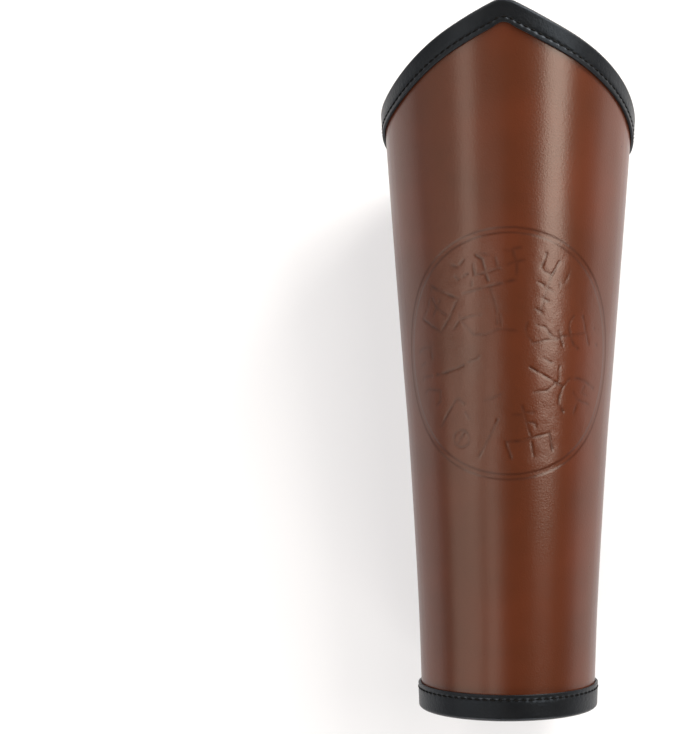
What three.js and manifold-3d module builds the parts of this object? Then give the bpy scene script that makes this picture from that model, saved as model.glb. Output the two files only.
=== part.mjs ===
import * as THREE from 'three';
import { mergeVertices } from 'three/addons/utils/BufferGeometryUtils.js';
import Module from 'manifold-3d';

// A leather bracer for the forearm, in millimetres. It lies on its laced side with the tooled
// front up, the elbow point toward +Y and the wrist toward -Y. A tapered shell of thick leather is
// open along its back, where a lace draws it closed through two rows of punched holes. Its elbow
// edge and its wrist edge are each bound with a folded strip of thin black leather.
// Places on the leather are given by three values: round, the angle from the front line; along,
// the distance from the wrist edge on the bracer's own axis; and depth, in from the shell's outside.

// Leather
const WALL = 2.6;
const STRIP_THICKNESS = 0.9;
const FIT_GAP = 0.3;
const FOLD_ROOM = 0.6;

// Shell
const FRONT_LENGTH = 264.3;
const BACK_LENGTH = 214.3;
const WRIST_RADIUS = 33.5;
const PEAK_RADIUS = 51;
const PEAK_OFFSET = -1.7;
const PEAK_ROUNDING = 4;

// Bindings, each measured on the outside from the fold to the stitched border
const ELBOW_STRIP_WIDTH = 8.7;
const WRIST_STRIP_WIDTH = 10.1;

// Lacing
const SLIT_WIDTH = 14;
const HOLE_DIAMETER = 4;
const HOLE_COUNT = 8;
const HOLE_INSET = 9;
const HOLE_END_CLEARANCE = 9;

// Rest: how far the round back is pressed flat, and how softly the flat turns into the round
const REST_FLATTENING = 3;
const REST_BLEND = 0.8;

// Fineness of the faceted surfaces
const COLUMNS = 64;
const SHELL_ROWS = 13;
const FOLD_STEPS = 6;
const HOLE_SIDES = 10;

// Taper of the shell. along is a share of the front length, and growth is a share of what the
// radius gains from the wrist edge to the peak.
const TAPER = [
  { along: 0, growth: 0 },
  { along: 0.15, growth: 0.08 },
  { along: 0.385, growth: 0.29 },
  { along: 0.5, growth: 0.43 },
  { along: 0.75, growth: 0.72 },
  { along: 1, growth: 1 },
];

// Elbow edge. round is a share of the half turn from the front line to the middle of the back, and
// drop is a share of the difference between the front and back lengths.
const ELBOW_EDGE = [
  { round: 0, drop: 0 },
  { round: 1 / 12, drop: 0.13 },
  { round: 1 / 6, drop: 0.266 },
  { round: 1 / 3, drop: 0.562 },
  { round: 1 / 2, drop: 0.8 },
  { round: 2 / 3, drop: 0.93 },
  { round: 5 / 6, drop: 0.99 },
  { round: 1, drop: 1 },
];

// Where the elbow edge stands higher than that. angle is the middle of the swell, in degrees to the
// right of the front line, and spread is how far it reaches to each side.
const SHOULDERS = [
  { angle: 52, spread: 40, rise: 1.8 },
  { angle: -95, spread: 35, rise: 2.5 },
];

const STRIP_STAND = FIT_GAP + STRIP_THICKNESS;
const FOLD_REACH = FOLD_ROOM + STRIP_THICKNESS;

const brownLeather = new THREE.MeshStandardMaterial({ color: 0x6e4030, roughness: 0.42, metalness: 0 });
const blackElbowLeather = new THREE.MeshStandardMaterial({ color: 0x26282a, roughness: 0.5, metalness: 0 });
const blackWristLeather = blackElbowLeather.clone();

const wasm = await Module();
wasm.setup();

// A smooth curve through the rows of a table, read at x.
function readTable(rows, xColumn, yColumn, x) {
  const last = rows.length - 1;
  let i = 0;
  while (i < last - 1 && x > rows[i + 1][xColumn]) i += 1;
  const rise = (a, b) => (rows[b][yColumn] - rows[a][yColumn]) / (rows[b][xColumn] - rows[a][xColumn]);
  const slopeIn = i === 0 ? rise(0, 1) : rise(i - 1, i + 1);
  const slopeOut = i + 1 === last ? rise(i, last) : rise(i, i + 2);
  const span = rows[i + 1][xColumn] - rows[i][xColumn];
  const s = (x - rows[i][xColumn]) / span;
  const start = rows[i][yColumn] * (1 + 2 * s) * (1 - s) ** 2 + slopeIn * span * s * (1 - s) ** 2;
  const end = rows[i + 1][yColumn] * s * s * (3 - 2 * s) + slopeOut * span * s * s * (s - 1);
  return start + end;
}

function radiusAt(along) {
  const growth = readTable(TAPER, 'along', 'growth', along / FRONT_LENGTH);
  return WRIST_RADIUS + (PEAK_RADIUS - WRIST_RADIUS) * growth;
}

// The angle from the peak, which sits a little to one side. The offset fades out toward the sides,
// and the tip is rounded.
function angleFromPeak(round) {
  const offset = (PEAK_OFFSET / PEAK_RADIUS) * Math.max(0, 1 - Math.abs(round) / (Math.PI / 2));
  const angle = Math.abs(round - offset);
  const rounding = PEAK_ROUNDING / PEAK_RADIUS;
  return angle < rounding ? (angle * angle / rounding + rounding) / 2 : angle;
}

function shoulderAt(round) {
  let height = 0;
  for (const { angle, spread, rise } of SHOULDERS) {
    const away = Math.abs(THREE.MathUtils.radToDeg(round) - angle) / spread;
    if (away < 1) height += rise * Math.cos((Math.PI / 2) * away) ** 2;
  }
  return height;
}

function elbowEdgeAt(round) {
  const drop = readTable(ELBOW_EDGE, 'round', 'drop', angleFromPeak(round) / Math.PI);
  return FRONT_LENGTH - (FRONT_LENGTH - BACK_LENGTH) * drop + shoulderAt(round);
}

// How much longer a step square to the elbow edge gets when it is taken along the axis instead.
function elbowSlant(round) {
  const step = 0.01;
  const rise = (elbowEdgeAt(round + step) - elbowEdgeAt(round - step)) / (2 * step);
  return Math.hypot(1, rise / radiusAt(elbowEdgeAt(round)));
}

// The bracer leans so that the undersides of both bindings lie level, and is let down until they
// are pressed flat.
const wristRest = { along: WRIST_STRIP_WIDTH / 2, radius: 0 };
const elbowRest = { along: BACK_LENGTH - ELBOW_STRIP_WIDTH / 2, radius: 0 };
wristRest.radius = radiusAt(wristRest.along) + STRIP_STAND;
elbowRest.radius = radiusAt(elbowRest.along) + STRIP_STAND;
const LEAN = Math.atan((elbowRest.radius - wristRest.radius) / (elbowRest.along - wristRest.along));
const AXIS_HEIGHT =
  wristRest.radius * Math.cos(LEAN) - wristRest.along * Math.sin(LEAN) - REST_FLATTENING;

// The height of a layer of leather that cannot go below its floor.
function pressFlat(height, floor) {
  const clear = height - floor;
  if (clear > REST_BLEND) return height;
  if (clear < -REST_BLEND) return floor;
  return floor + (clear + REST_BLEND) ** 2 / (4 * REST_BLEND);
}

function place(round, along, depth) {
  const radius = radiusAt(along) - depth;
  const up = radius * Math.cos(round);
  const y = along * Math.cos(LEAN) - up * Math.sin(LEAN);
  const z = along * Math.sin(LEAN) + up * Math.cos(LEAN) + AXIS_HEIGHT;
  return new THREE.Vector3(radius * Math.sin(round), y, pressFlat(z, STRIP_STAND + depth));
}

// The angle of the slit's edge, a constant width apart from the wrist to the elbow.
function slitEdgeAt(along) {
  return Math.PI - SLIT_WIDTH / 2 / radiusAt(along);
}

function elbowRound(share) {
  return share * slitEdgeAt(BACK_LENGTH);
}

// A closed sheet of leather between its two faces. face(side, share, j) gives a point on the outer
// face, side 0, or on the inner one, side 1. share goes from -1 to 1 round the bracer, and j counts
// the rows across the sheet.
function leatherSheet(rows, face) {
  const positions = [];
  const index = [];
  const at = (side, i, j) => (side * (COLUMNS + 1) + i) * (rows + 1) + j;
  const quad = (a, b, c, d) => index.push(a, b, c, a, c, d);
  for (const side of [0, 1]) {
    for (let i = 0; i <= COLUMNS; i += 1) {
      for (let j = 0; j <= rows; j += 1) positions.push(...face(side, (2 * i) / COLUMNS - 1, j));
    }
  }
  for (let i = 0; i < COLUMNS; i += 1) {
    for (let j = 0; j < rows; j += 1) {
      quad(at(0, i, j), at(0, i + 1, j), at(0, i + 1, j + 1), at(0, i, j + 1));
      quad(at(1, i, j), at(1, i, j + 1), at(1, i + 1, j + 1), at(1, i + 1, j));
    }
    quad(at(0, i, 0), at(1, i, 0), at(1, i + 1, 0), at(0, i + 1, 0));
    quad(at(0, i, rows), at(0, i + 1, rows), at(1, i + 1, rows), at(1, i, rows));
  }
  for (let j = 0; j < rows; j += 1) {
    quad(at(0, 0, j), at(0, 0, j + 1), at(1, 0, j + 1), at(1, 0, j));
    quad(at(0, COLUMNS, j), at(1, COLUMNS, j), at(1, COLUMNS, j + 1), at(0, COLUMNS, j + 1));
  }
  const geometry = new THREE.BufferGeometry();
  geometry.setAttribute('position', new THREE.Float32BufferAttribute(positions, 3));
  geometry.setIndex(index);
  return geometry;
}

function toSolid(geometry) {
  const bare = geometry.clone();
  bare.deleteAttribute('normal');
  bare.deleteAttribute('uv');
  const merged = mergeVertices(bare);
  const vertProperties = new Float32Array(merged.attributes.position.array);
  const triVerts = new Uint32Array(merged.index.array);
  return new wasm.Manifold(new wasm.Mesh({ numProp: 3, vertProperties, triVerts }));
}

function toGeometry(solid) {
  const { vertProperties, triVerts } = solid.getMesh();
  const geometry = new THREE.BufferGeometry();
  geometry.setAttribute('position', new THREE.Float32BufferAttribute(vertProperties, 3));
  geometry.setIndex(new THREE.Uint32BufferAttribute(triVerts, 1));
  geometry.computeVertexNormals();
  return geometry;
}

function named(name, geometry, material) {
  const mesh = new THREE.Mesh(geometry, material);
  mesh.name = name;
  return mesh;
}

function shellBlank() {
  return leatherSheet(SHELL_ROWS, (side, share, j) => {
    const edge = elbowEdgeAt(elbowRound(share));
    const along = (edge * j) / SHELL_ROWS;
    return place(share * slitEdgeAt(along), along, side * WALL);
  });
}

// One punch for a lacing hole, square through the leather. side is -1 or 1.
function lacingPunch(side, along) {
  const round = side * (slitEdgeAt(along) - HOLE_INSET / radiusAt(along));
  const outside = place(round, along, 0);
  const inside = place(round, along, WALL);
  const punch = new THREE.CylinderGeometry(
    HOLE_DIAMETER / 2,
    HOLE_DIAMETER / 2,
    WALL * 3,
    HOLE_SIDES,
  );
  const direction = new THREE.Vector3().subVectors(outside, inside).normalize();
  punch.applyQuaternion(new THREE.Quaternion().setFromUnitVectors(THREE.Object3D.DEFAULT_UP, direction));
  const centre = new THREE.Vector3().addVectors(outside, inside).multiplyScalar(0.5);
  punch.translate(centre.x, centre.y, centre.z);
  return toSolid(punch);
}

function shell() {
  const first = WRIST_STRIP_WIDTH + HOLE_END_CLEARANCE;
  const last = BACK_LENGTH - ELBOW_STRIP_WIDTH - HOLE_END_CLEARANCE;
  let leather = toSolid(shellBlank());
  for (let i = 0; i < HOLE_COUNT; i += 1) {
    const along = first + ((last - first) * i) / (HOLE_COUNT - 1);
    for (const side of [-1, 1]) leather = leather.subtract(lacingPunch(side, along));
  }
  return named('shell', toGeometry(leather), brownLeather);
}

// Across a folded strip, from its outer border round the shell's edge to its inner border. back is
// the distance back from the shell's edge, square to it, and depth is in from the shell's outside.
function foldedStrip(width) {
  const leaf = width - FOLD_REACH;
  const section = (gap, room) => {
    const points = [{ depth: -gap, back: leaf }];
    for (let k = 0; k <= FOLD_STEPS; k += 1) {
      const turn = (Math.PI * k) / FOLD_STEPS;
      const depth = WALL / 2 - (WALL / 2 + gap) * Math.cos(turn);
      points.push({ depth, back: -room * Math.sin(turn) });
    }
    points.push({ depth: WALL + gap, back: leaf });
    return points;
  };
  return [section(STRIP_STAND, FOLD_REACH), section(FIT_GAP, FOLD_ROOM)];
}

function elbowBinding() {
  const faces = foldedStrip(ELBOW_STRIP_WIDTH);
  const geometry = leatherSheet(FOLD_STEPS + 2, (side, share, j) => {
    const { depth, back } = faces[side][j];
    const round = elbowRound(share);
    const along = elbowEdgeAt(round) - back * elbowSlant(round);
    return place(share * slitEdgeAt(along), along, depth);
  });
  return named('elbow_binding', toGeometry(toSolid(geometry)), blackElbowLeather);
}

// At the wrist the rows run the other way across the strip, so that its outer face still looks out.
function wristBinding() {
  const faces = foldedStrip(WRIST_STRIP_WIDTH).map((section) => section.reverse());
  const geometry = leatherSheet(FOLD_STEPS + 2, (side, share, j) => {
    const { depth, back } = faces[side][j];
    return place(share * slitEdgeAt(back), back, depth);
  });
  return named('wrist_binding', toGeometry(toSolid(geometry)), blackWristLeather);
}

const bracer = new THREE.Group();
bracer.name = 'bracer';
bracer.add(shell(), elbowBinding(), wristBinding());

// The origin is under the middle of the bracer, on the surface that it lies on.
const bounds = new THREE.Box3().setFromObject(bracer);
const middle = bounds.getCenter(new THREE.Vector3());
bracer.position.set(-middle.x, -middle.y, -bounds.min.z);

export default bracer;
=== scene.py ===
import math

import bpy
import numpy as np
from bpy.props import FloatProperty, IntProperty, PointerProperty, StringProperty
from mathutils import Matrix, Vector, noise


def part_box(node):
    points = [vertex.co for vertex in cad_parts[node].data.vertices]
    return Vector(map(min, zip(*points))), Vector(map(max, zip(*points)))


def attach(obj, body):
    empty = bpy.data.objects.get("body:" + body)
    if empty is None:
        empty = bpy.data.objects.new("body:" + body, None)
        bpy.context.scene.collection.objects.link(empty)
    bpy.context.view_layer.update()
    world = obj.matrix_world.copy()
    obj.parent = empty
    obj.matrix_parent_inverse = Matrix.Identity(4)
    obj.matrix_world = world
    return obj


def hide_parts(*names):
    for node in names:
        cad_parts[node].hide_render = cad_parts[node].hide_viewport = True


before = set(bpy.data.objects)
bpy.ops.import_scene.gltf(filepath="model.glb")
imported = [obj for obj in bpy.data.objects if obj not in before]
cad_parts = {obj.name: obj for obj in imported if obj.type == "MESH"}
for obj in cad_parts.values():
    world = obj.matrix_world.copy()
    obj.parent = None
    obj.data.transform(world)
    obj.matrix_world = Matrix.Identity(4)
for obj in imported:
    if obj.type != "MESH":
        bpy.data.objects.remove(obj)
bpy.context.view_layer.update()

bl_info = {
    "name": "Leather bracer",
    "version": (1, 0, 0),
    "blender": (4, 5, 0),
    "location": "3D View > Sidebar > Bracer",
    "description": "A tooled leather bracer with bound and sewn edges, lying on its laced back",
    "category": "Add Mesh",
}

MM = 0.001

# Taper of the shell: along is a share of the front length, and growth is a share of what the radius
# gains from the wrist edge to the peak.
TAPER = {
    "along": (0, 0.15, 0.385, 0.5, 0.75, 1),
    "growth": (0, 0.08, 0.29, 0.43, 0.72, 1),
}

# Elbow edge: round is a share of the half turn from the front line to the middle of the back, and
# drop is a share of the difference between the front and back lengths.
ELBOW_EDGE = {
    "round": (0, 1 / 12, 1 / 6, 1 / 3, 1 / 2, 2 / 3, 5 / 6, 1),
    "drop": (0, 0.13, 0.266, 0.562, 0.8, 0.93, 0.99, 1),
}

# Where the elbow edge stands higher than that: angle is the middle of the swell in degrees to the
# right of the front line, spread is how far it reaches to each side, and rise is in millimetres.
SHOULDERS = (
    {"angle": 52, "spread": 40, "rise": 1.8},
    {"angle": -95, "spread": 35, "rise": 2.5},
)

# The compass tooled inside the ring, in millimetres on the flat leather from the middle of the
# front: x to the right and y toward the elbow. Each line of an arm has its pressure, from 0 to 1,
# and the points that it runs through.
ARMS = {
    "north": [
        (0.35, [(-4.1, 16), (-4.4, 21.8), (-6.8, 29.5)]),
        (0.7, [(-17, 27.1), (-13.8, 28), (-5.7, 30), (3, 32.2)]),
        (0.4, [(-13.6, 32.4), (-13.8, 29.9)]),
        (0.9, [(-13.2, 37.8), (-12.6, 33.9)]),
        (0.9, [(-12.6, 33.9), (-8.2, 34.7), (-3.2, 36.2)]),
        (1, [(-12.1, 41.1), (-9.8, 39.6), (-7.6, 31.8)]),
        (0.5, [(-4.8, 40), (-3.9, 36.4)]),
        (0.3, [(-10.6, 41.9), (-7.3, 41.3)]),
        (0.9, [(-21.7, 37.7), (-19.8, 36.9)]),
        (0.9, [(-16.9, 39.6), (-18.4, 37.8)]),
        (0.7, [(-20.5, 33.4), (-19.1, 32.4)]),
        (0.9, [(-15.5, 34.3), (-17.1, 33.3)]),
        (0.6, [(-0.9, 43), (0.4, 42.7)]),
        (0.4, [(1.8, 43.5), (4.6, 43.9)]),
        (0.6, [(-0.1, 37.8), (1.8, 38.4), (5.6, 39.3)]),
        (0.5, [(1.5, 43), (3, 38.2), (3.1, 33.9)]),
    ],
    "north_east": [
        (0.8, [(14.5, 42), (13, 37.7), (12.3, 36.7), (13.4, 35.2), (16.4, 33.8)]),
        (1, [(19.7, 39), (16.4, 33.8)]),
        (0.45, [(16.4, 33.8), (14.3, 28), (12, 20.2)]),
        (0.8, [(11.4, 31.2), (13.4, 30.2)]),
        (0.6, [(14.9, 28.9), (16.8, 28)]),
        (0.7, [(12.8, 25.4), (15, 24.3)]),
        (0.6, [(10.3, 21.4), (12.8, 19.9)]),
        (0.6, [(24.3, 35.8), (22.1, 31.4)]),
        (0.4, [(19.6, 31.2), (19.9, 29.8)]),
    ],
    "east": [
        (0.8, [(11, 15.5), (14, 14.6), (16.6, 11.4), (20.3, 10.4)]),
        (0.5, [(9.3, 8.8), (14, 9.9), (20.3, 10.4)]),
        (0.5, [(20.3, 11.4), (24.3, 11.7), (32.4, 12.7)]),
        (0.8, [(19.6, 13.2), (21.2, 8)]),
        (0.7, [(25.9, 18.9), (24.3, 16.8), (24, 14.3), (24.6, 11.1), (25.9, 8.6), (28, 7)]),
        (0.6, [(30.6, 18.8), (31.6, 15.5), (32.4, 12.1), (33.8, 8.4)]),
        (0.6, [(36.7, 14.5), (37, 14.3)]),
        (0.6, [(38.3, 8.3), (38.6, 8.1)]),
        (0.3, [(7.4, 16.4), (6.5, 14.3), (7.1, 11.8), (9.2, 9)]),
    ],
    "south_east": [
        (1, [(8.2, -0.1), (13.9, -3.4), (21.4, -7.3)]),
        (0.9, [(19.9, 0.2), (19.5, -5.4)]),
        (0.5, [(13.3, 3.4), (16.4, 1.6)]),
        (0.6, [(9.8, -9.2), (14.6, -8.8), (17.6, -6.6)]),
        (0.6, [(21.4, -7.3), (24.2, -4.2), (28.7, -4.4), (32, -5.4), (37, -8)]),
        (1, [(21.4, -7.3), (19.9, -10.8), (19.6, -13.6), (21.5, -16.6)]),
        (0.4, [(26.2, -9.5), (28.4, -12.3), (34.3, -14)]),
        (0.4, [(31.7, -7.4), (30.4, -9.6), (33, -10.8)]),
        (0.6, [(28, -14), (26.4, -17.2)]),
    ],
    "south": [
        (0.6, [(5.3, -14.5), (6.5, -19), (8.7, -26.3)]),
        (0.5, [(6.2, -16.7), (9.6, -16.7)]),
        (0.3, [(1.8, -17.5), (4.9, -17.6)]),
        (0.6, [(6.8, -20.4), (10.3, -20.8), (10.4, -22.2)]),
        (0.9, [(-0.9, -27.7), (5.3, -27.3), (10.3, -25.8), (15.7, -24.5)]),
        (0.8, [(-0.9, -27.7), (1, -33.6)]),
        (0.9, [(8.6, -27.4), (9.5, -33)]),
        (1, [(15.7, -24.5), (17, -31)]),
    ],
    "south_west": [
        (0.6, [(-3.9, -19.4), (-6.4, -24.6), (-11, -33.4)]),
        (0.7, [(-27.3, -22.2), (-23.5, -16.6), (-20.2, -12), (-19, -12), (-16.8, -13.6)]),
        (0.4, [(-16.4, -17), (-14.8, -19.2)]),
        (0.7, [(-16.8, -24.2), (-19.3, -28)]),
    ],
    "west": [
        (1, [(-28.9, -2.8), (-24.1, -1.9), (-20.4, -0.8), (-17.3, 0.6)]),
        (0.5, [(-15, 1.9), (-11.6, 2.9), (-10.7, 4.1)]),
        (0.4, [(-38.7, 5.7), (-36.2, 7.1), (-32, 7.4), (-31.6, 3.3)]),
        (0.4, [(-37.7, 0.5), (-35.4, 1.6)]),
        (0.4, [(-36.6, -4.8), (-36.2, -3.7), (-31.6, -3.3)]),
        (0.6, [(-35.4, -9.5), (-33.5, -8.4), (-27.6, -8.9), (-27.4, -12.6), (-29.2, -14)]),
    ],
    "north_west": [
        (0.8, [(-36.2, 18), (-31, 15.1), (-26.9, 13)]),
        (0.7, [(-26.9, 13), (-23.1, 18), (-19.5, 25.2)]),
        (0.9, [(-31.3, 30.2), (-29.5, 29.2), (-19.5, 25.2)]),
        (0.4, [(-36.2, 18), (-33.5, 22), (-31.3, 30.2)]),
        (0.7, [(-31.2, 25.6), (-29, 22), (-24.7, 19.3)]),
        (0.5, [(-27.4, 24.6), (-30.6, 19.4)]),
        (0.6, [(-21.3, 14), (-18.5, 17.4), (-14.4, 18.8), (-10.4, 19.3)]),
        (0.4, [(-19, 19.8), (-18.5, 17.4), (-12.9, 12), (-8.2, 12)]),
    ],
    "centre": [
        (0.35, [(-8.2, 12), (-3.5, 14), (2.8, 13.4)]),
        (0.4, [(-3.2, 19.3), (-2.6, 15.5)]),
        (0.4, [(-8.8, -12.3), (-6, -11.5), (-2.9, -10)]),
    ],
}

# The small circle at the south-west arm: centre and radius, in the same measure.
SOUTH_WEST_CIRCLE = {"x": -18, "y": -26.7, "radius": 3.2, "pressure": 0.6}


# Sizes and colours that a maker would change

class LeatherSizes(bpy.types.PropertyGroup):
    """The cut and folded leather."""
    wall: FloatProperty(name="Shell leather", description="Thickness", default=2.6 * MM, unit="LENGTH")
    strip: FloatProperty(name="Strip leather", description="Thickness", default=0.9 * MM, unit="LENGTH")
    gap: FloatProperty(name="Gap", description="Shell to binding", default=0.3 * MM, unit="LENGTH")
    fold_room: FloatProperty(name="Fold room", description="In the fold", default=0.6 * MM, unit="LENGTH")
    front_length: FloatProperty(
        name="Front length", description="Wrist to peak", default=264.3 * MM, unit="LENGTH"
    )
    back_length: FloatProperty(
        name="Back length", description="At the slit", default=214.3 * MM, unit="LENGTH"
    )
    wrist_radius: FloatProperty(
        name="Wrist radius", description="At the wrist", default=33.5 * MM, unit="LENGTH"
    )
    peak_radius: FloatProperty(name="Peak radius", description="At peak", default=51 * MM, unit="LENGTH")
    peak_offset: FloatProperty(
        name="Peak offset", description="To the right", default=-1.7 * MM, unit="LENGTH"
    )
    peak_rounding: FloatProperty(
        name="Peak rounding", description="Of the tip", default=4 * MM, unit="LENGTH"
    )
    elbow_strip: FloatProperty(
        name="Elbow strip", description="Fold to border", default=8.7 * MM, unit="LENGTH"
    )
    wrist_strip: FloatProperty(
        name="Wrist strip", description="Fold to border", default=10.1 * MM, unit="LENGTH"
    )
    slit: FloatProperty(name="Slit", description="Width of the lacing slit", default=14 * MM, unit="LENGTH")
    flattening: FloatProperty(name="Flattening", description="Of the back", default=3 * MM, unit="LENGTH")
    rest_blend: FloatProperty(name="Blend", description="Edge of the flat", default=0.8 * MM, unit="LENGTH")
    edge_round: FloatProperty(name="Edge round", description="Slit's edge", default=0.6 * MM, unit="LENGTH")


class LacingSizes(bpy.types.PropertyGroup):
    """The punched holes beside the slit."""
    diameter: FloatProperty(name="Hole", description="Diameter of a hole", default=4 * MM, unit="LENGTH")
    count: IntProperty(name="Holes a side", description="Holes along each edge", default=8)
    inset: FloatProperty(name="Inset", description="Slit edge to hole", default=9 * MM, unit="LENGTH")
    clearance: FloatProperty(name="Clearance", description="To the binding", default=9 * MM, unit="LENGTH")


class ToolingSizes(bpy.types.PropertyGroup):
    """The ring and the compass pressed into the front."""
    middle: FloatProperty(name="Middle", description="Of the drawing", default=130.7 * MM, unit="LENGTH")
    ring_x: FloatProperty(name="Ring x", description="To the right", default=0.3 * MM, unit="LENGTH")
    ring_y: FloatProperty(name="Ring y", description="Toward the elbow", default=4.8 * MM, unit="LENGTH")
    ring_radius: FloatProperty(
        name="Ring radius", description="Across the arm", default=44.5 * MM, unit="LENGTH"
    )
    ring_length: FloatProperty(
        name="Ring length", description="Along the arm", default=45.5 * MM, unit="LENGTH"
    )
    ring_width: FloatProperty(
        name="Ring width", description="Of its channel", default=2.6 * MM, unit="LENGTH"
    )
    line_width: FloatProperty(
        name="Line width", description="Of its channel", default=1.5 * MM, unit="LENGTH"
    )
    depth: FloatProperty(name="Depth", description="Depth of a line", default=0.11 * MM, unit="LENGTH")
    dimples: FloatProperty(name="Dimples", description="Inside the ring", default=0.03 * MM, unit="LENGTH")
    fine_step: FloatProperty(
        name="Fine step", description="At the tooling", default=0.385 * MM, unit="LENGTH"
    )
    coarse_step: FloatProperty(name="Coarse step", description="Elsewhere", default=4 * MM, unit="LENGTH")


class SewingSizes(bpy.types.PropertyGroup):
    """The saddle stitches along the bindings."""
    pitch: FloatProperty(name="Pitch", description="Length of a stitch", default=3 * MM, unit="LENGTH")
    inset: FloatProperty(name="Inset", description="Border to stitches", default=1.9 * MM, unit="LENGTH")
    thread: FloatProperty(name="Thread", description="Diameter", default=0.75 * MM, unit="LENGTH")
    slant: FloatProperty(name="Slant", description="Lean of a stitch", default=0.35 * MM, unit="LENGTH")


class FinishColours(bpy.types.PropertyGroup):
    """Colours as sRGB hex values."""
    brown: StringProperty(name="Brown", description="Brown leather", default="462212")
    brown_light: StringProperty(name="Light brown", description="Worn brown", default="4e2514")
    finish: StringProperty(name="Finish", description="Tint of the brown leather's shine", default="ffe6d2")
    # The dark brown of the pressed lines is partly burnish and partly painted shade in the grooves.
    brown_burnish_and_shade: StringProperty(name="Dark brown", description="Pressed lines", default="2a130b")
    raw_edge: StringProperty(name="Raw edge", description="Flesh side and cut edge", default="8a6347")
    black: StringProperty(name="Black", description="Black leather", default="101113")
    black_shine: StringProperty(name="Black shine", description="Tint of its shine", default="cde4ff")
    black_worn: StringProperty(name="Worn black", description="Rubbed black leather", default="171819")
    thread: StringProperty(name="Thread", description="Black thread", default="060708")
    thread_rib: StringProperty(name="Thread rib", description="Rubbed ribs of its braid", default="0b0c0d")
    floor: StringProperty(name="Floor", description="Matt floor", default="adb1b8")
    floor_light: StringProperty(name="Light floor", description="Its paler patches", default="b1b5bb")
    glow: StringProperty(name="Glow", description="Own light of the floor and the sky", default="fbfcff")


class StudioSizes(bpy.types.PropertyGroup):
    """Camera, floor and sky."""
    photo_width: IntProperty(name="Photo width", description="Pixels", default=700)
    axis_pixel: FloatProperty(name="Axis pixel", description="Across the photo", default=508.2)
    pixel_size: FloatProperty(name="Pixel size", description="At axis", default=0.39 * MM, unit="LENGTH")
    distance: FloatProperty(name="Distance", description="Camera to axis", default=746 * MM, unit="LENGTH")
    sensor: FloatProperty(name="Sensor", description="Sensor width in millimetres", default=36)
    floor_reach: FloatProperty(name="Floor reach", description="Middle to side", default=12, unit="LENGTH")
    glow: FloatProperty(name="Glow", description="Brightness of the floor's own light", default=0.47)
    sky: FloatProperty(name="Sky", description="Brightness of the sky overhead", default=0.04)
    sky_fade: FloatProperty(name="Sky fade", description="Height where its glow ends", default=0.25)


SETTINGS = {
    "bracer_leather": LeatherSizes,
    "bracer_lacing": LacingSizes,
    "bracer_tooling": ToolingSizes,
    "bracer_sewing": SewingSizes,
    "bracer_colours": FinishColours,
    "bracer_studio": StudioSizes,
}


# Shape of the leather

def read_table(xs, ys, x):
    """A smooth curve through the rows of a table, read at x."""
    xs, ys, x = np.array(xs, float), np.array(ys, float), np.asarray(x, float)
    i = np.clip(np.searchsorted(xs, x) - 1, 0, len(xs) - 2)
    secants = np.diff(ys) / np.diff(xs)
    slopes = np.concatenate(([secants[0]], (ys[2:] - ys[:-2]) / (xs[2:] - xs[:-2]), [secants[-1]]))
    span = xs[i + 1] - xs[i]
    s = (x - xs[i]) / span
    start = ys[i] * (1 + 2 * s) * (1 - s) ** 2 + slopes[i] * span * s * (1 - s) ** 2
    end = ys[i + 1] * s * s * (3 - 2 * s) + slopes[i + 1] * span * s * s * (s - 1)
    return start + end


class Pattern:
    """Where the leather lies: turn is the angle from the front line, along the distance from the
    wrist edge on the bracer's own axis, and depth the distance in from the shell's outside."""

    def __init__(self, leather):
        self.sizes = leather
        self.stand = leather.gap + leather.strip
        self.reach = leather.fold_room + leather.strip
        wrist_along = leather.wrist_strip / 2
        elbow_along = leather.back_length - leather.elbow_strip / 2
        wrist_rest = self.radius(wrist_along) + self.stand
        elbow_rest = self.radius(elbow_along) + self.stand
        self.lean = math.atan((elbow_rest - wrist_rest) / (elbow_along - wrist_along))
        rise = wrist_along * math.sin(self.lean)
        self.height = wrist_rest * math.cos(self.lean) - rise - leather.flattening
        self.shift = 0.0
        fold_tip = self.place(0.0, -self.reach, leather.wall / 2)[1]
        self.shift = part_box("wrist_binding")[0].y - fold_tip

    def radius(self, along):
        s = self.sizes
        growth = read_table(TAPER["along"], TAPER["growth"], along / s.front_length)
        return s.wrist_radius + (s.peak_radius - s.wrist_radius) * growth

    def elbow_edge(self, turn):
        s = self.sizes
        offset = s.peak_offset / s.peak_radius * np.maximum(0, 1 - np.abs(turn) / (math.pi / 2))
        angle = np.abs(turn - offset)
        rounding = s.peak_rounding / s.peak_radius
        angle = np.where(angle < rounding, (angle * angle / rounding + rounding) / 2, angle)
        drop = read_table(ELBOW_EDGE["round"], ELBOW_EDGE["drop"], angle / math.pi)
        edge = s.front_length - (s.front_length - s.back_length) * drop
        for row in SHOULDERS:
            away = np.minimum(1, np.abs(np.degrees(turn) - row["angle"]) / row["spread"])
            edge = edge + row["rise"] * MM * np.cos(math.pi / 2 * away) ** 2
        return edge

    def elbow_slant(self, turn):
        step = 0.01
        rise = (self.elbow_edge(turn + step) - self.elbow_edge(turn - step)) / (2 * step)
        return np.hypot(1, rise / self.radius(self.elbow_edge(turn)))

    def slit_edge(self, along):
        return math.pi - self.sizes.slit / 2 / self.radius(along)

    def elbow_turn(self, share):
        return share * self.slit_edge(self.sizes.back_length)

    def press_flat(self, height, floor):
        blend = self.sizes.rest_blend
        clear = height - floor
        eased = floor + (clear + blend) ** 2 / (4 * blend)
        return np.where(clear > blend, height, np.where(clear < -blend, floor, eased))

    def place(self, turn, along, depth):
        radius = self.radius(along) - depth
        up = radius * np.cos(turn)
        cos, sin = math.cos(self.lean), math.sin(self.lean)
        x = radius * np.sin(turn)
        y = along * cos - up * sin + self.shift
        z = self.press_flat(along * sin + up * cos + self.height, self.stand + depth)
        return np.stack(np.broadcast_arrays(x, y, z), axis=-1)


# Meshes

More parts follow.
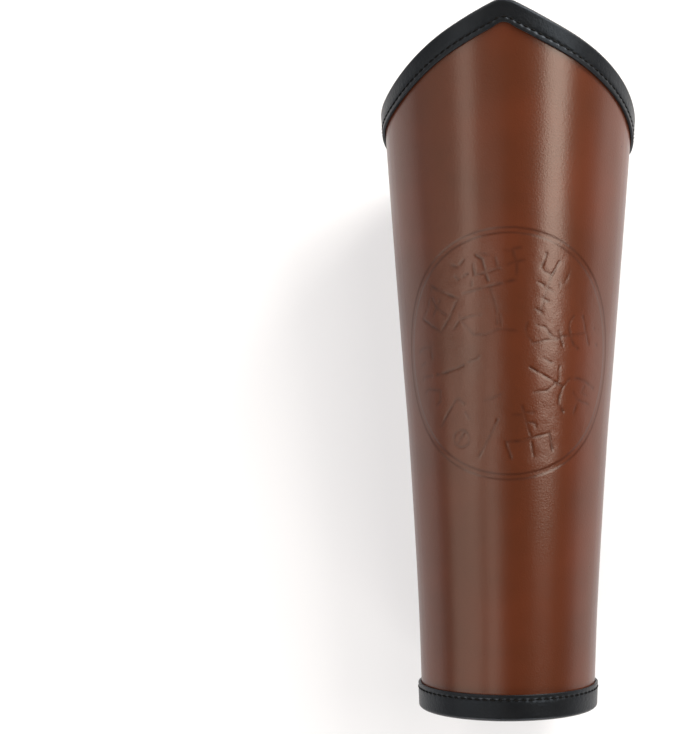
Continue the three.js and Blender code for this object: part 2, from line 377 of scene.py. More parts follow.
def graded(low, high, fine_low, fine_high, fine_step, coarse_step):
    """Positions from low to high that are close together between fine_low and fine_high."""
    parts = []
    for start, stop, step in (
        (low, fine_low, coarse_step),
        (fine_low, fine_high, fine_step),
        (fine_high, high, coarse_step),
    ):
        count = max(1, math.ceil((stop - start) / step))
        parts.append(np.linspace(start, stop, count, endpoint=False))
    return np.concatenate(parts + [[high]])


def grid_faces(ids, flip=False):
    """Quads over a grid of vertex numbers."""
    quads = np.stack((ids[:-1, :-1], ids[1:, :-1], ids[1:, 1:], ids[:-1, 1:]), axis=-1).reshape(-1, 4)
    return (quads[:, ::-1] if flip else quads).tolist()


def zip_faces(first, first_at, second, second_at):
    """Triangles between two rows of vertices that run side by side, each with its places 0 to 1."""
    faces, i, j = [], 0, 0
    while i < len(first) - 1 or j < len(second) - 1:
        step_first = j == len(second) - 1
        if i < len(first) - 1 and j < len(second) - 1:
            step_first = first_at[i + 1] <= second_at[j + 1]
        if step_first:
            faces.append([first[i], second[j], first[i + 1]])
            i += 1
        else:
            faces.append([first[i], second[j], second[j + 1]])
            j += 1
    return faces


def add_piece(name, points, faces, materials, node=None):
    """A mesh object that rides with the bracer, and stands for a CAD node where one is named."""
    mesh = bpy.data.meshes.new(name)
    mesh.from_pydata(points, [], faces)
    mesh.validate()
    for material in materials:
        mesh.materials.append(material)
    piece = bpy.data.objects.new(name, mesh)
    bpy.context.scene.collection.objects.link(piece)
    smooth(mesh)
    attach(piece, "root")
    if node:
        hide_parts(node)
    return piece


def smooth(mesh, sharp_degrees=50):
    mesh.polygons.foreach_set("use_smooth", np.ones(len(mesh.polygons), bool))
    mesh.set_sharp_from_angle(angle=math.radians(sharp_degrees))
    mesh.update()


# Shell

# The tooling's section. A spread or edge without a unit is a share of the line's own width, and
# worn is the share of its pressure that a stroke keeps from place to place.
CHANNEL_WALL = 0.55 * MM
RING_PRESSURE = 0.8
# The darker brown along the tooling is partly burnish and partly painted shade: two painted dark lines
# follow the walls of the ring's channel, and one runs down the groove of each stroke.
RING_EDGE = 0.36
RING_EDGE_SPREAD = 0.45 * MM
LEAST_BURNISH_AND_SHADE = 0.3
BURNISH_AND_SHADE_SPREAD = 0.42
SUNK_SHARE = 0.4
SUNK_SPREAD = 1.6
WORN_SPOT = 2.6 * MM
WORN_MIDDLE = 0.8
WORN_SWING = 0.7
WORN_LIMITS = (0.25, 1.1)
DIMPLE_SPOT = 3.4 * MM
DIMPLE_FADE = 3 * MM

# Fineness of the shell where nothing is tooled
EDGE_POINTS = 5
INNER_COLUMNS = 97
INNER_ROWS = 61
PUNCH_SIDES = 32


def line_distance(x, y, start, end):
    """Distance from each point to a straight line between two points."""
    (ax, ay), (bx, by) = start, end
    dx, dy = bx - ax, by - ay
    share = np.clip(((x - ax) * dx + (y - ay) * dy) / max(dx * dx + dy * dy, 1e-12), 0, 1)
    return np.hypot(x - ax - share * dx, y - ay - share * dy)


def channel(distance, width):
    """Share of the depth of a flat-bottomed channel with steep sides, at a distance from its middle."""
    wall = np.clip(1 + (distance - width / 2) / CHANNEL_WALL, 0, 1)
    return 0.5 + 0.5 * np.cos(math.pi * wall)


def bell(distance, spread):
    """1 in the middle of a soft ridge, falling away over the spread."""
    return np.exp(-((distance / spread) ** 2))


def spots(x, y, size):
    """A smooth uneven pattern around 0, mostly within -0.7 to 0.7, with spots of about this size."""
    values = [noise.noise((px / size, py / size, 0.0)) for px, py in zip(x.ravel(), y.ravel())]
    return np.reshape(values, x.shape)


def stroke_distances(x, y):
    """The pressure of each tooled stroke, and the distance of each place from it."""
    circle = SOUTH_WEST_CIRCLE
    from_centre = np.hypot(x - circle["x"] * MM, y - circle["y"] * MM)
    yield circle["pressure"], np.abs(from_centre - circle["radius"] * MM)
    for lines in ARMS.values():
        for pressure, line in lines:
            points = [(px * MM, py * MM) for px, py in line]
            distances = [line_distance(x, y, start, end) for start, end in zip(points, points[1:])]
            yield pressure, np.min(distances, axis=0)


def tooled_depth(x, y, tooling):
    """How deep the tooling is pressed at places on the flat leather, and the share of dark brown there,
    which is partly burnish and partly painted shade in the grooves.
    """
    width = tooling.line_width
    slim = tooling.ring_radius / tooling.ring_length
    from_ring = np.hypot(x - tooling.ring_x, (y - tooling.ring_y) * slim) - tooling.ring_radius
    pressed = RING_PRESSURE * channel(np.abs(from_ring), tooling.ring_width)
    # Painted shade with some burnish: two dark lines along the walls of the ring's channel.
    burnish_and_painted_shade = RING_PRESSURE * bell(np.abs(from_ring) - RING_EDGE * tooling.ring_width, RING_EDGE_SPREAD)
    worn = np.clip(WORN_MIDDLE + WORN_SWING * spots(x, y, WORN_SPOT), *WORN_LIMITS)
    sunk = np.zeros_like(x)
    for pressure, distance in stroke_distances(x, y):
        pressed = np.maximum(pressed, pressure * worn * channel(distance, width))
        # Painted shade with some burnish: a dark line down each stroke's groove, darker where the stroke is
        # pressed harder.
        stroke_burnish_and_shade = (LEAST_BURNISH_AND_SHADE + (1 - LEAST_BURNISH_AND_SHADE) * pressure) * worn
        burnish_and_painted_shade = np.maximum(burnish_and_painted_shade, stroke_burnish_and_shade * bell(distance, BURNISH_AND_SHADE_SPREAD * width))
        sunk = np.maximum(sunk, SUNK_SHARE * pressure * bell(distance, SUNK_SPREAD * width))
    inside_ring = np.clip(-from_ring / DIMPLE_FADE, 0, 1)
    dimpled = tooling.dimples * spots(x, y, DIMPLE_SPOT) * inside_ring
    return tooling.depth * (pressed + sunk) + dimpled, burnish_and_painted_shade


def shell_mesh(pattern, tooling):
    """Points, faces and share of dark brown (burnish and painted shade in the pressed lines) of the closed
    shell, and how many of the first faces are its outside."""
    sizes = pattern.sizes
    middle_radius = float(pattern.radius(tooling.middle))
    half_width = middle_radius * float(pattern.slit_edge(tooling.middle))
    fine = tooling.ring_length + tooling.ring_width
    steps = tooling.fine_step, tooling.coarse_step
    columns = graded(-half_width, half_width, tooling.ring_x - fine, tooling.ring_x + fine, *steps)
    edge_steps = sizes.edge_round * (1 - np.cos(np.linspace(0, math.pi / 2, EDGE_POINTS)))[1:]
    left_edge, right_edge = -half_width + edge_steps, half_width - edge_steps[::-1]
    columns = np.concatenate((columns[:1], left_edge, columns[1:-1], right_edge, columns[-1:]))
    shares = columns / half_width
    ring_middle = tooling.middle + tooling.ring_y
    rows = graded(0, sizes.front_length, ring_middle - fine, ring_middle + fine, *steps)
    share, row = np.meshgrid(shares, rows, indexing="ij")
    edge = pattern.elbow_edge(pattern.elbow_turn(share))
    above = np.maximum(0, row - ring_middle - fine) / (sizes.front_length - ring_middle - fine)
    along = np.minimum(row, ring_middle + fine) + above * (edge - ring_middle - fine)
    turn = share * pattern.slit_edge(along)
    flat_x = turn * pattern.radius(along)
    flat_y = along - tooling.middle
    depth, burnish_and_painted_shade = tooled_depth(flat_x, flat_y, tooling)
    from_slit = (1 - np.abs(share)) * half_width
    inside_round = np.clip(1 - from_slit / sizes.edge_round, 0, 1)
    depth = depth + sizes.edge_round * (1 - np.sqrt(1 - inside_round ** 2))
    outside = pattern.place(turn, along, depth)

    inner_shares = np.linspace(-1, 1, INNER_COLUMNS)
    inner_rows = np.linspace(0, 1, INNER_ROWS)
    share_in, row_in = np.meshgrid(inner_shares, inner_rows, indexing="ij")
    along_in = row_in * pattern.elbow_edge(pattern.elbow_turn(share_in))
    inside = pattern.place(share_in * pattern.slit_edge(along_in), along_in, sizes.wall)

    outer_ids = np.arange(share.size).reshape(share.shape)
    inner_ids = share.size + np.arange(share_in.size).reshape(share_in.shape)
    faces = grid_faces(outer_ids)
    outside_count = len(faces)
    faces += grid_faces(inner_ids, flip=True)
    outer_across, inner_across = (shares + 1) / 2, (inner_shares + 1) / 2
    rims = [
        zip_faces(outer_ids[:, 0], outer_across, inner_ids[:, 0], inner_across),
        [f[::-1] for f in zip_faces(outer_ids[:, -1], outer_across, inner_ids[:, -1], inner_across)],
        [f[::-1] for f in zip_faces(outer_ids[0], along[0] / along[0, -1], inner_ids[0], inner_rows)],
        zip_faces(outer_ids[-1], along[-1] / along[-1, -1], inner_ids[-1], inner_rows),
    ]
    for rim in rims:
        faces += [[int(v) for v in f] for f in rim]
    points = np.concatenate((outside.reshape(-1, 3), inside.reshape(-1, 3)))
    burnish_and_shade = np.concatenate((burnish_and_painted_shade.ravel(), np.zeros(share_in.size)))
    return points, faces, burnish_and_shade, outside_count


def hole_punches(pattern, lacing):
    """One object of round punches, one through the leather at each lacing hole. Their faces take
    the shell's second material, so the holes show raw leather."""
    sizes = pattern.sizes
    first = sizes.wrist_strip + lacing.clearance
    last = sizes.back_length - sizes.elbow_strip - lacing.clearance
    sides = PUNCH_SIDES
    circle = np.linspace(0, 2 * math.pi, sides, endpoint=False)
    points, faces = [], []
    for along in np.linspace(first, last, lacing.count):
        for side in (-1, 1):
            turn = side * (pattern.slit_edge(along) - lacing.inset / pattern.radius(along))
            outside, inside = pattern.place(turn, along, 0), pattern.place(turn, along, sizes.wall)
            axis = (outside - inside) / np.linalg.norm(outside - inside)
            across = np.cross(axis, (0, 1, 0))
            across /= np.linalg.norm(across)
            up = np.cross(axis, across)
            ring = (np.cos(circle)[:, None] * across + np.sin(circle)[:, None] * up) * lacing.diameter / 2
            base, top = len(points), len(points) + sides
            points += list(inside - axis * sizes.wall + ring) + list(outside + axis * sizes.wall + ring)
            for k in range(sides):
                after = (k + 1) % sides
                faces.append([base + k, base + after, top + after, top + k])
            faces.append([base + k for k in reversed(range(sides))])
            faces.append([top + k for k in range(sides)])
    mesh = bpy.data.meshes.new("punches")
    mesh.from_pydata(points, [], faces)
    mesh.validate()
    mesh.polygons.foreach_set("material_index", np.ones(len(mesh.polygons), np.int32))
    punches = bpy.data.objects.new("punches", mesh)
    bpy.context.scene.collection.objects.link(punches)
    return punches


def apply_modifiers(piece):
    """Replaces a piece's mesh by the one its modifiers make."""
    shaped = bpy.data.meshes.new_from_object(piece.evaluated_get(bpy.context.evaluated_depsgraph_get()))
    piece.modifiers.clear()
    old = piece.data
    piece.data = shaped
    bpy.data.meshes.remove(old)


class BRACER_OT_shell(bpy.types.Operator):
    """Builds the tooled shell with its lacing holes"""
    bl_idname = "bracer.shell"
    bl_label = "Tooled shell"

    def execute(self, context):
        scene = context.scene
        pattern = Pattern(scene.bracer_leather)
        points, faces, burnish_and_shade, outside_count = shell_mesh(pattern, scene.bracer_tooling)
        materials = [brown_leather(scene.bracer_colours), raw_leather(scene.bracer_colours)]
        piece = add_piece("tooled_shell", points, faces, materials, node="shell")
        mesh = piece.data
        if len(mesh.polygons) != len(faces):
            raise RuntimeError("the shell's mesh lost faces")
        slots = np.ones(len(faces), np.int32)
        slots[:outside_count] = 0
        mesh.polygons.foreach_set("material_index", slots)
        # The share of dark brown, partly burnish and partly painted shade in the grooves, goes to the
        # material.
        mesh.attributes.new("burnish_and_shade", "FLOAT", "POINT").data.foreach_set("value", burnish_and_shade)
        punches = hole_punches(pattern, scene.bracer_lacing)
        cut = piece.modifiers.new("Lacing holes", "BOOLEAN")
        cut.operation, cut.solver, cut.object = "DIFFERENCE", "MANIFOLD", punches
        apply_modifiers(piece)
        bpy.data.objects.remove(punches)
        smooth(piece.data)
        return {"FINISHED"}


# Bindings and stitches

# Points round a strip's section
CORNER_POINTS = 5
NEAR_POINTS = 17
FAR_POINTS = 9
FOLD_POINTS = 15
LINING_POINTS = 9

# Relief of the sewn leather: at is the distance from the stitches toward the border and spread how
# far it reaches to each side, in millimetres. height is a share of the strip's thickness.
SEWN_RELIEF = {
    "channel": {"at": 0, "spread": 0.7, "height": -0.16},
    "hole": {"at": 0, "spread": 0.45, "height": -0.4},
    "lip": {"at": 1.1, "spread": 0.6, "height": 0.02},
    "pillow": {"at": -2.2, "spread": 1.1, "height": 0.04},
}
HOLE_LENGTH = 0.5 * MM

# A stitch: where it shows, as shares of the pitch, how thin its ends are, as a share of the
# thread, and how far its middle stands above its ends, as a share of the thread too.
STITCH_SHOWS = (0.13, 0.87)
STITCH_END = 0.55
STITCH_RISE = 0.6
STITCH_RINGS = 9
STITCH_SIDES = 8

BORDER_POINTS = 2401
STRIP_STEP = 0.5 * MM


def strip_section(pattern, width, sewing):
    """The outline of a folded strip as depth and back, with the share of sewn relief at each point:
    1 on the outer leaf, -1 on the inner one and 0 elsewhere."""
    sizes = pattern.sizes
    leaf = width - pattern.reach
    corner = 0.25 * sizes.strip
    middle = sizes.wall / 2
    outer_leaf = []
    for angle in np.linspace(0, math.pi / 2, CORNER_POINTS):
        depth = -pattern.stand + corner * (1 - math.sin(angle))
        outer_leaf.append((depth, leaf - corner * (1 - math.cos(angle)), 0))
    near = np.linspace(leaf - corner, leaf - 2 * sewing.inset, NEAR_POINTS)[1:]
    far = np.linspace(leaf - 2 * sewing.inset, 0, FAR_POINTS)[1:]
    outer_leaf += [(-pattern.stand, back, 1) for back in np.concatenate((near, far))]
    half = middle + pattern.stand
    fold = []
    for turn in np.linspace(0, math.pi, FOLD_POINTS)[1:-1]:
        fold.append((middle - half * math.cos(turn), -pattern.reach * math.sin(turn), 0))
    inner_leaf = [(sizes.wall - depth, back, -relief) for depth, back, relief in reversed(outer_leaf)]
    half = middle + sizes.gap
    lining = [(sizes.wall + sizes.gap, leaf, 0), (sizes.wall + sizes.gap, 0, 0)]
    for turn in np.linspace(0, math.pi, LINING_POINTS)[1:-1]:
        lining.append((middle + half * math.cos(turn), -sizes.fold_room * math.sin(turn), 0))
    lining += [(-sizes.gap, 0, 0), (-sizes.gap, leaf, 0)]
    return np.array(outer_leaf + fold + inner_leaf + lining)


def ridge(name, from_stitch, strip):
    """The height of one of the ridges or grooves, at a distance in from the stitches."""
    row = SEWN_RELIEF[name]
    return row["height"] * strip * bell(from_stitch - row["at"] * MM, row["spread"] * MM)


def sewn_relief(back, length, leaf, sewing, strip):
    """How far the sewn leather stands out at a distance back from the edge and along the border."""
    from_stitch = back - (leaf - sewing.inset)
    phase = length / sewing.pitch
    to_hole = (phase - np.round(phase)) * sewing.pitch
    hole = ridge("hole", from_stitch, strip) * bell(to_hole, HOLE_LENGTH)
    puckered = 0.6 - 0.4 * np.cos(2 * math.pi * phase)
    swollen = ridge("lip", from_stitch, strip) + ridge("pillow", from_stitch, strip)
    return ridge("channel", from_stitch, strip) + hole + swollen * puckered


class Border:
    """One bound edge: where a place across the strip lies, and how far along the border a share is."""

    def __init__(self, pattern, width, at_elbow):
        self.pattern, self.width, self.at_elbow = pattern, width, at_elbow
        self.leaf = width - pattern.reach
        self.shares = np.linspace(-1, 1, BORDER_POINTS)
        line = self.point(self.shares, self.leaf, -pattern.stand)
        steps = np.linalg.norm(np.diff(line, axis=0), axis=1)
        self.lengths = np.concatenate(([0], np.cumsum(steps)))

    def point(self, share, back, depth):
        pattern = self.pattern
        if self.at_elbow:
            turn = pattern.elbow_turn(share)
            along = pattern.elbow_edge(turn) - back * pattern.elbow_slant(turn)
        else:
            along = back + 0 * share
        return pattern.place(share * pattern.slit_edge(along), along, depth)

    def share_at(self, length):
        return np.interp(length, self.lengths, self.shares)

    def whole_pitch(self, sewing):
        """The pitch that fits a whole number of stitches between the two ends."""
        free = self.lengths[-1] - 2 * sewing.inset
        return free / round(free / sewing.pitch)


def strip_mesh(border, sewing, step):
    """Points and faces of a folded strip, closed at its two ends."""
    sizes = border.pattern.sizes
    section = strip_section(border.pattern, border.width, sewing)
    count = math.ceil(border.lengths[-1] / step)
    lengths = np.linspace(0, border.lengths[-1], count + 1)
    length, depth = np.meshgrid(lengths, section[:, 0], indexing="ij")
    back, side = section[None, :, 1], section[None, :, 2]
    pitch = border.whole_pitch(sewing)
    scaled = (length - sewing.inset) / pitch * sewing.pitch
    relief = sewn_relief(back, scaled, border.leaf, sewing, sizes.strip)
    points = border.point(border.share_at(length), back, depth - side * relief)
    ids = np.arange(points.shape[0] * points.shape[1]).reshape(points.shape[:2])
    ring = np.concatenate((ids, ids[:, :1]), axis=1)
    faces = grid_faces(ring, flip=not border.at_elbow)
    ends = [ids[0].tolist(), ids[-1][::-1].tolist()]
    faces += ends if not border.at_elbow else [end[::-1] for end in ends]
    return points.reshape(-1, 3), faces


def stitch_mesh(border, sewing):
    """Points and faces of all the stitches along one border, on both leaves."""
    pattern = border.pattern
    sizes = pattern.sizes
    pitch = border.whole_pitch(sewing)
    count = round((border.lengths[-1] - 2 * sewing.inset) / pitch)
    starts = sewing.inset + pitch * np.arange(count)
    t = np.linspace(*STITCH_SHOWS, STITCH_RINGS)
    length = starts[:, None] + pitch * t[None, :]
    arch = np.sin(math.pi * np.linspace(0.05, 0.95, STITCH_RINGS))
    radius = sewing.thread / 2 * (STITCH_END + (1 - STITCH_END) * arch ** 0.5)
    back = border.leaf - sewing.inset + sewing.slant * (0.5 - t)
    lift = SEWN_RELIEF["channel"]["height"] * sizes.strip + STITCH_RISE * sewing.thread * (arch - 1)
    circle = np.linspace(0, 2 * math.pi, STITCH_SIDES, endpoint=False)
    points, faces = [], []
    for outer in (True, False):
        depth = -pattern.stand - lift if outer else sizes.wall + pattern.stand + lift
        share = border.share_at(length)
        centre = border.point(share, back[None, :], depth[None, :] + 0 * share)
        above = border.point(share, back[None, :], depth[None, :] - 0.1 * MM + 0 * share)
        out = above - centre
        out /= np.linalg.norm(out, axis=-1, keepdims=True)
        forward = np.gradient(centre, axis=1)
        forward /= np.linalg.norm(forward, axis=-1, keepdims=True)
        across = np.cross(forward, out)
        around = np.cos(circle)[:, None] * across[:, :, None] + np.sin(circle)[:, None] * out[:, :, None]
        tube = centre[:, :, None] + radius[:, None, None] * around
        base = sum(len(p) for p in points)
        ids = base + np.arange(tube[..., 0].size).reshape(tube.shape[:3])
        for stitch in ids:
            closed = np.concatenate((stitch, stitch[:, :1]), axis=1)
            faces += grid_faces(closed, flip=True)
            faces.append(stitch[0].tolist())
            faces.append(stitch[-1][::-1].tolist())
        points.append(tube.reshape(-1, 3))
    return np.concatenate(points), faces


BORDERS = {
    "elbow": {"node": "elbow_binding", "width": "elbow_strip", "at_elbow": True},
    "wrist": {"node": "wrist_binding", "width": "wrist_strip", "at_elbow": False},
}


class BRACER_OT_bindings(bpy.types.Operator):
    """Builds the folded black strips over the elbow and wrist edges"""
    bl_idname = "bracer.bindings"
    bl_label = "Bindings"

    def execute(self, context):
        scene = context.scene
        pattern = Pattern(scene.bracer_leather)
        leather = black_leather(scene.bracer_colours)
        for name, row in BORDERS.items():
            border = Border(pattern, getattr(scene.bracer_leather, row["width"]), row["at_elbow"])
            points, faces = strip_mesh(border, scene.bracer_sewing, STRIP_STEP)
            add_piece(name + "_strip", points, faces, [leather], node=row["node"])
        return {"FINISHED"}


class BRACER_OT_stitches(bpy.types.Operator):
    """Sews both bindings down with black thread"""
    bl_idname = "bracer.stitches"
    bl_label = "Stitches"

    def execute(self, context):
        scene = context.scene
        pattern = Pattern(scene.bracer_leather)
        thread = waxed_thread(scene.bracer_colours)
        for name, row in BORDERS.items():
            border = Border(pattern, getattr(scene.bracer_leather, row["width"]), row["at_elbow"])
            points, faces = stitch_mesh(border, scene.bracer_sewing)
            add_piece(name + "_stitches", points, faces, [thread])
        return {"FINISHED"}


# Materials

def linear(hex_colour, alpha=1.0):
    """An sRGB hex value as linear red, green, blue and alpha."""
    values = [int(hex_colour[i:i + 2], 16) / 255 for i in (0, 2, 4)]
    return [v / 12.92 if v <= 0.04045 else ((v + 0.055) / 1.055) ** 2.4 for v in values] + [alpha]


def add_node(tree, kind, inputs=None, **settings):
    """Adds a node, sets its properties, and fills its inputs from values or from other sockets."""
    node = tree.nodes.new(kind)
    for key, value in settings.items():
        setattr(node, key, value)
    for key, value in (inputs or {}).items():
        if isinstance(value, bpy.types.NodeSocket):
            tree.links.new(value, node.inputs[key])
        else:
            node.inputs[key].default_value = value
    return node


def new_material(name):
    material = bpy.data.materials.new(name)
    material.use_nodes = True
    material.node_tree.nodes.clear()
    return material, material.node_tree


def per_metre(size_mm):
    """The texture scale that makes a pattern's features about this many millimetres."""
    return 1 / (size_mm * MM)


def mixed(tree, share, first, second):
    """A colour between two, by a share from 0 to 1."""
    mix = add_node(tree, "ShaderNodeMix", data_type="RGBA")
    tree.links.new(share, mix.inputs["Factor"])
    for key, value in (("A", first), ("B", second)):
        socket = next(s for s in mix.inputs if s.name == key and s.type == "RGBA")
        if isinstance(value, bpy.types.NodeSocket):
            tree.links.new(value, socket)
        else:
            socket.default_value = value
    return next(s for s in mix.outputs if s.type == "RGBA")


def cloudy(tree, where, size_mm, detail):
    """A cloudy pattern around 0.5 whose features are about this many millimetres."""
    inputs = {"Vector": where, "Scale": per_metre(size_mm), "Detail": detail}
    return add_node(tree, "ShaderNodeTexNoise", inputs).outputs[0]


def spread_out(tree, value, low, high):
    """A value stretched so that low becomes 0 and high becomes 1."""
    inputs = {"Value": value, "From Min": low, "From Max": high}
    return add_node(tree, "ShaderNodeMapRange", inputs).outputs[0]


def between(tree, share, low, high):
    """The value between low and high at a share from 0 to 1."""
    return add_node(tree, "ShaderNodeMapRange", {"Value": share, "To Min": low, "To Max": high}).outputs[0]


def relief(tree, height, strength, depth_mm, under=None):
    """A normal bumped by a pattern this many millimetres deep, over another normal."""
    inputs = {"Height": height, "Strength": strength, "Distance": depth_mm * MM}
    if under is not None:
        inputs["Normal"] = under
    return add_node(tree, "ShaderNodeBump", inputs).outputs[0]


def give_surface(tree, values):
    """Gives the material one Principled surface with these values."""
    skin = add_node(tree, "ShaderNodeBsdfPrincipled", values)
    add_node(tree, "ShaderNodeOutputMaterial", {"Surface": skin.outputs[0]})


def brown_leather(colours):
    """Full grain cowhide, drum dyed and finished with a thin resin top coat. It gives a smooth semi-gloss
    brown that clouds a little and is darker in the pressed lines, there partly burnish and partly painted
    shade. The coat is light but of a high IOR, so that its shine hardly grows toward the turned sides."""
    material, tree = new_material("full grain cowhide, resin finished")
    where = add_node(tree, "ShaderNodeTexCoord").outputs["Object"]
    cloud = spread_out(tree, cloudy(tree, where, 28, 4.0), 0.35, 0.65)
    dyed = mixed(tree, cloud, linear(colours.brown), linear(colours.brown_light))
    # Dark brown in the pressed lines: partly burnish, partly painted shade in the grooves.
    tooled = add_node(tree, "ShaderNodeAttribute", attribute_name="burnish_and_shade")
    burnish_and_shade = add_node(tree, "ShaderNodeMath", {0: tooled.outputs["Fac"], 1: 0.7}, operation="MULTIPLY")
    pores = add_node(tree, "ShaderNodeTexVoronoi", {"Vector": where, "Scale": per_metre(0.7)})
    creases = cloudy(tree, where, 0.7, 2.0)
    drawn = add_node(tree, "ShaderNodeMapping", {"Vector": where, "Scale": (1, 0.3, 1)})
    waves = cloudy(tree, drawn.outputs[0], 22, 1.0)
    grain = relief(tree, creases, 0.5, 0.04)
    pitted = relief(tree, pores.outputs["Distance"], 0.4, 0.05, grain)
    uneven = relief(tree, waves, 1.0, 0.35, pitted)
    give_surface(tree, {
        "Base Color": mixed(tree, burnish_and_shade.outputs[0], dyed, linear(colours.brown_burnish_and_shade)),
        "Roughness": between(tree, creases, 0.25, 0.34),
        "IOR": 1.2,
        "Specular Tint": linear(colours.finish),
        "Normal": uneven,
        "Coat Weight": 0.24,
        "Coat Roughness": 0.26,
        "Coat IOR": 2.2,
        "Coat Normal": uneven,
    })
    return material


def raw_leather(colours):
    """The flesh side and the cut edges of the same hide, undyed and unfinished. It is matt and
    fibrous, and paler than the grain side."""
    material, tree = new_material("raw flesh side of cowhide")
    where = add_node(tree, "ShaderNodeTexCoord").outputs["Object"]
    cloud = spread_out(tree, cloudy(tree, where, 16, 3.0), 0.3, 0.7)
    give_surface(tree, {
        "Base Color": mixed(tree, cloud, linear(colours.raw_edge), linear(colours.brown_light)),
        "Roughness": 0.85,
        "IOR": 1.45,
        "Normal": relief(tree, cloudy(tree, where, 1.1, 6.0), 0.7, 0.15),
    })
    return material


def black_leather(colours):
    """Thin pared calf, dyed black and waxed. It is satin and faintly bluish where it shines, with a
    fine grain."""
    material, tree = new_material("pared calf, dyed and waxed")
    where = add_node(tree, "ShaderNodeTexCoord").outputs["Object"]
    creases = cloudy(tree, where, 0.9, 4.0)
    worn = spread_out(tree, cloudy(tree, where, 9, 3.0), 0.4, 0.8)
    give_surface(tree, {
        "Base Color": mixed(tree, worn, linear(colours.black), linear(colours.black_worn)),
        "Roughness": between(tree, creases, 0.3, 0.46),
        "IOR": 1.3,
        "Specular Tint": linear(colours.black_shine),
        "Normal": relief(tree, creases, 0.8, 0.15),
    })
    return material


def waxed_thread(colours):
    """Braided polyester thread, waxed. It is near black and almost matt, and its braid shows as
    fine slanting ribs."""
    material, tree = new_material("braided polyester thread, waxed")
    where = add_node(tree, "ShaderNodeTexCoord").outputs["Object"]
    inputs = {"Vector": where, "Scale": per_metre(3.5), "Distortion": 1.0}
    braid = add_node(tree, "ShaderNodeTexWave", inputs).outputs["Fac"]
    give_surface(tree, {
        "Base Color": mixed(tree, braid, linear(colours.thread), linear(colours.thread_rib)),
        "Roughness": 0.85,
        "IOR": 1.2,
        "Normal": relief(tree, braid, 0.4, 0.08),
    })
    return material


def matt_floor(colours, glow):
    """Matt opal acrylic, lit from below. It shows as plain white with a faint shadow, and gives the
    sides of the bracer their pale rims."""
    material, tree = new_material("opal acrylic, lit from below")
    where = add_node(tree, "ShaderNodeTexCoord").outputs["Object"]
    tone = cloudy(tree, where, 600, 2.0)
    give_surface(tree, {
        "Base Color": mixed(tree, tone, linear(colours.floor), linear(colours.floor_light)),
        "Roughness": 0.9,
        "Emission Color": linear(colours.glow),
        "Emission Strength": glow,
    })
    return material


# Stage

# How far the floor lies under the bracer, so that the two faces don't flicker
FLOOR_GAP = 0.05 * MM

# Colours of the lamps on the right and on the left, both slightly warm
RIGHT_LIGHT = "fff4e6"
LEFT_LIGHT = "fff2e4"

# Each softbox faces a point on the bracer's axis. tilt is its angle from the camera's direction
# toward the right and nod its angle toward the elbow, in degrees. distance is to the axis, width
# is across the axis, length along it and shift how far it is moved toward the elbow, in metres.
SOFTBOX_COLUMNS = ("tilt", "nod", "distance", "width", "length", "shift", "watts", "colour")
SOFTBOXES = {
    "right": (43.5, 0, 1.0, 0.36, 0.95, 0.32, 7.8, RIGHT_LIGHT),
    "left": (-38.5, 0, 1.0, 0.3, 0.95, 0.32, 2.6, LEFT_LIGHT),
    "left side": (-67, 0, 1.0, 0.55, 1.0, 0.37, 1.1, LEFT_LIGHT),
    "front": (-15, -8, 1.0, 0.35, 0.5, 0, 0.4, LEFT_LIGHT),
    "low left": (-53, -17, 1.1, 0.75, 0.45, 0, 1.9, LEFT_LIGHT),
    "low front": (-20, -17, 1.1, 0.27, 0.45, 0, 0.6, LEFT_LIGHT),
    "foot left": (-50, -64, 0.9, 0.5, 0.35, 0, 5.0, LEFT_LIGHT),
    "foot right": (55, -62, 0.9, 0.5, 0.35, 0, 4.5, RIGHT_LIGHT),
    "top left": (-60, 48, 0.8, 0.35, 0.35, 0.05, 1.8, LEFT_LIGHT),
    "top front": (24, 48, 0.8, 0.35, 0.35, 0.05, 3.2, RIGHT_LIGHT),
    "top right": (60, 48, 0.8, 0.35, 0.35, 0.05, 9.0, RIGHT_LIGHT),
}


def aim(thing, place, target, up):
    """Puts a camera or light at a place, looking at a target, with its top toward up."""
    back = (place - target).normalized()
    right = up.cross(back).normalized()
    top = back.cross(right)
    turn = Matrix((right, top, back)).transposed().to_4x4()
    thing.matrix_world = Matrix.Translation(place) @ turn


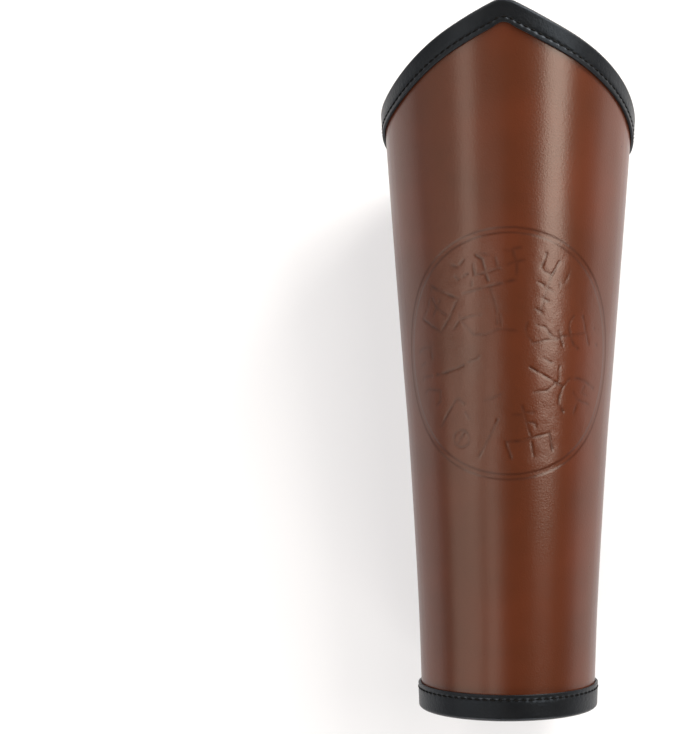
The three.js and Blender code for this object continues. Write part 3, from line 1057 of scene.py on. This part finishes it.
class BRACER_OT_stage(bpy.types.Operator):
    """Sets the floor, the softboxes and the camera at the photo's angle"""
    bl_idname = "bracer.stage"
    bl_label = "Stage"

    def execute(self, context):
        scene = context.scene
        studio = scene.bracer_studio
        pattern = Pattern(scene.bracer_leather)
        middle = scene.bracer_tooling.middle
        cos, sin = math.cos(pattern.lean), math.sin(pattern.lean)
        axis, toward_camera = Vector((0, cos, sin)), Vector((0, -sin, cos))
        target = Vector((0, middle * cos + pattern.shift, middle * sin + pattern.height))

        lens = bpy.data.cameras.new("camera")
        lens.sensor_fit, lens.sensor_width = "HORIZONTAL", studio.sensor
        lens.lens = studio.sensor * studio.distance / (studio.photo_width * studio.pixel_size)
        lens.shift_x = 0.5 - studio.axis_pixel / studio.photo_width
        lens.clip_end = 50
        camera = bpy.data.objects.new("camera", lens)
        scene.collection.objects.link(camera)
        aim(camera, target + toward_camera * studio.distance, target, axis)
        scene.camera = camera

        for name, values in SOFTBOXES.items():
            row = dict(zip(SOFTBOX_COLUMNS, values))
            lamp = bpy.data.lights.new(name + " softbox", "AREA")
            lamp.color = linear(row["colour"])[:3]
            lamp.energy = row["watts"]
            lamp.shape = "RECTANGLE"
            lamp.size, lamp.size_y = row["width"], row["length"]
            light = bpy.data.objects.new(name + " softbox", lamp)
            scene.collection.objects.link(light)
            tilt, nod = math.radians(row["tilt"]), math.radians(row["nod"])
            level = toward_camera * math.cos(tilt) + Vector((1, 0, 0)) * math.sin(tilt)
            direction = level * math.cos(nod) + axis * math.sin(nod)
            centre = target + axis * row["shift"]
            aim(light, centre + direction * row["distance"], centre, axis)

        mesh = bpy.data.meshes.new("floor")
        corners = [(-1, -1), (1, -1), (1, 1), (-1, 1)]
        reach = studio.floor_reach
        mesh.from_pydata([(x * reach, y * reach, -FLOOR_GAP) for x, y in corners], [], [(0, 1, 2, 3)])
        mesh.materials.append(matt_floor(scene.bracer_colours, studio.glow))
        floor = bpy.data.objects.new("floor", mesh)
        scene.collection.objects.link(floor)

        world = bpy.data.worlds.new("studio")
        world.use_nodes = True
        tree = world.node_tree
        where = add_node(tree, "ShaderNodeTexCoord").outputs["Generated"]
        height = add_node(tree, "ShaderNodeSeparateXYZ", {"Vector": where}).outputs["Z"]
        faded = spread_out(tree, height, 0, studio.sky_fade)
        sky = tree.nodes["Background"]
        sky.inputs["Color"].default_value = linear(scene.bracer_colours.glow)
        tree.links.new(between(tree, faded, studio.glow, studio.sky), sky.inputs["Strength"])
        scene.world = world
        scene.view_settings.view_transform = "Standard"
        return {"FINISHED"}


class BRACER_PT_panel(bpy.types.Panel):
    """The bracer's steps and sizes"""
    bl_idname = "BRACER_PT_panel"
    bl_label = "Leather bracer"
    bl_space_type = "VIEW_3D"
    bl_region_type = "UI"
    bl_category = "Bracer"

    def draw(self, context):
        for operator in OPERATORS:
            self.layout.operator(operator.bl_idname)
        for key, group in SETTINGS.items():
            box = self.layout.box()
            box.label(text=group.__doc__)
            for name in group.__annotations__:
                box.prop(getattr(context.scene, key), name)


OPERATORS = (BRACER_OT_stage, BRACER_OT_shell, BRACER_OT_bindings, BRACER_OT_stitches)


def register():
    for group in SETTINGS.values():
        bpy.utils.register_class(group)
    for key, group in SETTINGS.items():
        setattr(bpy.types.Scene, key, PointerProperty(type=group))
    for operator in OPERATORS:
        bpy.utils.register_class(operator)
    bpy.utils.register_class(BRACER_PT_panel)


def unregister():
    bpy.utils.unregister_class(BRACER_PT_panel)
    for operator in reversed(OPERATORS):
        bpy.utils.unregister_class(operator)
    for key, group in SETTINGS.items():
        delattr(bpy.types.Scene, key)
        bpy.utils.unregister_class(group)


def main():
    register()
    bpy.ops.bracer.stage()
    bpy.ops.bracer.shell()
    bpy.ops.bracer.bindings()
    bpy.ops.bracer.stitches()


if __name__ == "__main__":
    main()
